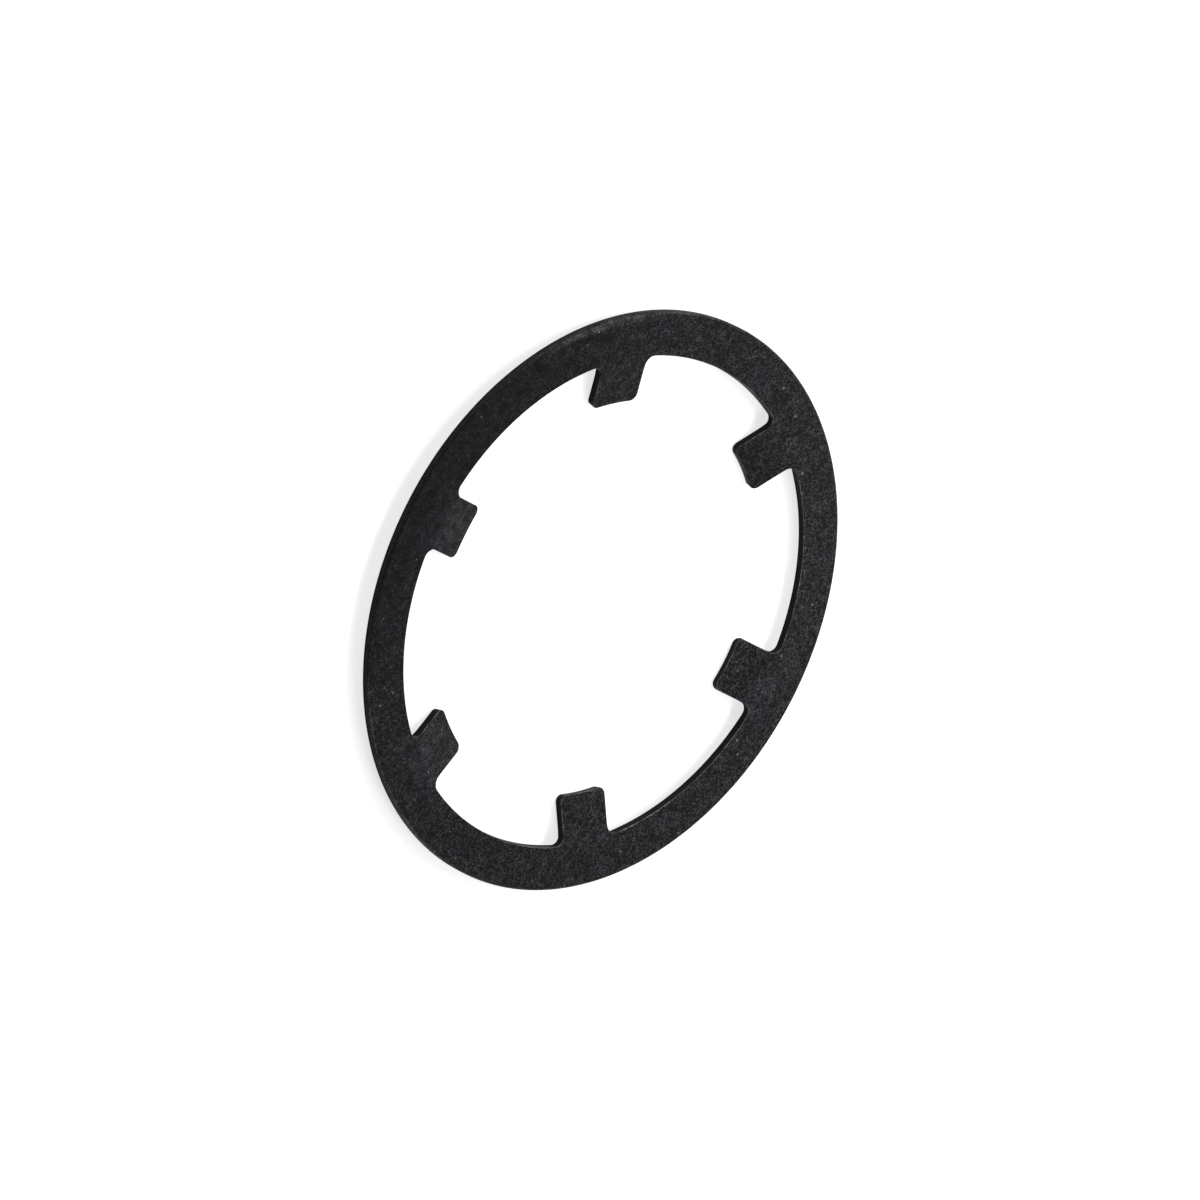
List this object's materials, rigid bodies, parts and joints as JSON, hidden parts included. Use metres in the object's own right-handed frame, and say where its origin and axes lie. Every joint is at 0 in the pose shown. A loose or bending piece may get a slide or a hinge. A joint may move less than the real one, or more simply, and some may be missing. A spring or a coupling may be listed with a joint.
{
  "type": "retaining ring",
  "caption": "Thin flat ring of dark spring steel with inward tabs bent to one side, pushed onto a plain shaft so that the tab tips bite and hold what lies against its rim.",
  "frame": {"origin": "on the ring's axis, at the level of the tab tips that the ring lies on", "axes": "+Z along the shaft's axis, out of the front face of the rim, which lies against the part that is held; +X through the middle of a tab"},
  "size_m": [0.036, 0.036, 0.0012],
  "materials": {
    "blackened_steel": "matt black phosphated and oiled spring steel, fine grain, edges worn slightly lighter"
  },
  "bodies": {
    "root": {"retaining_ring": "blackened_steel"}
  },
  "joints": []
}
